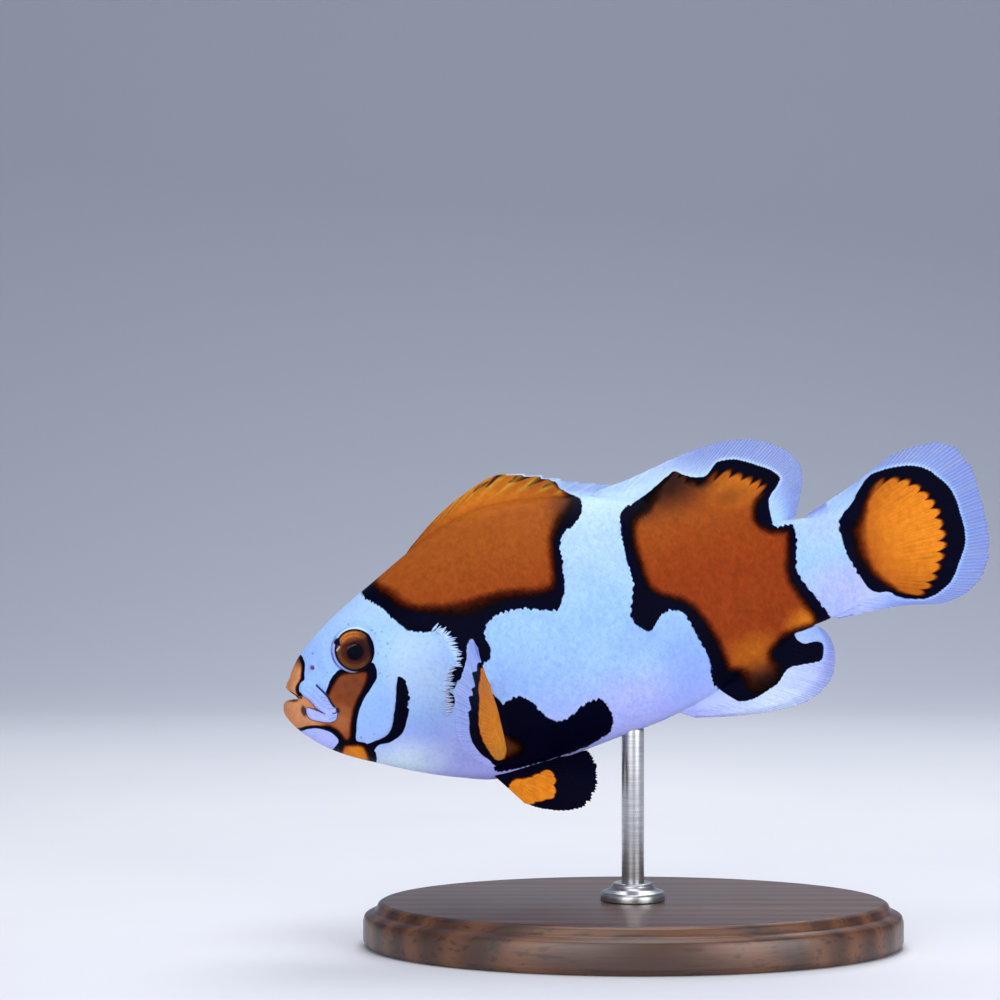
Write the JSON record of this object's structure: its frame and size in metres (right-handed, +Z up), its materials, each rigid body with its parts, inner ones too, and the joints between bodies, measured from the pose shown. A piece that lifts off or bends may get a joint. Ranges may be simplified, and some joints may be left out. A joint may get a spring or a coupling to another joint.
{
  "type": "clownfish model on display stand",
  "caption": "Life-size still clownfish with black-edged orange and white patches, swimming nose down, held by one rod on an oval base.",
  "frame": {"origin": "middle of the stand's underside, on the floor, straight below the point where the rod meets the belly", "axes": "+Z up; -X the way the fish faces, +X towards its tail; -Y its left side, the side the picture shows"},
  "size_m": [0.0792, 0.042, 0.0564],
  "materials": {
    "skin_white": "moist white scaled skin with a blue cast",
    "skin_orange": "moist orange-brown scaled skin with black margins",
    "fin_orange": "thin rayed fin, orange with black and white edges",
    "fin_white": "thin rayed fin, white with a translucent edge",
    "fin_black": "thin rayed fin, black with an orange middle",
    "eye": "clear cornea over an orange-brown iris and a black pupil",
    "stand_wood": "dark satin hardwood",
    "stand_steel": "brushed"
  },
  "bodies": {
    "root": {"head": "skin_white", "lower_jaw": "skin_orange", "gill_cover_left": "skin_white", "gill_cover_right": "skin_white", "eye_left": "eye", "eye_right": "eye", "trunk": "skin_orange", "tail_stalk": "skin_white", "dorsal_fin_spiny": "fin_orange", "dorsal_fin_soft": "fin_white", "anal_fin": "fin_white", "caudal_fin": "fin_orange", "pectoral_fin_left": "fin_orange", "pectoral_fin_right": "fin_orange", "pelvic_fin_left": "fin_black", "pelvic_fin_right": "fin_black", "stand_base": "stand_wood", "stand_collar": "stand_steel", "stand_rod": "stand_steel"}
  },
  "joints": []
}
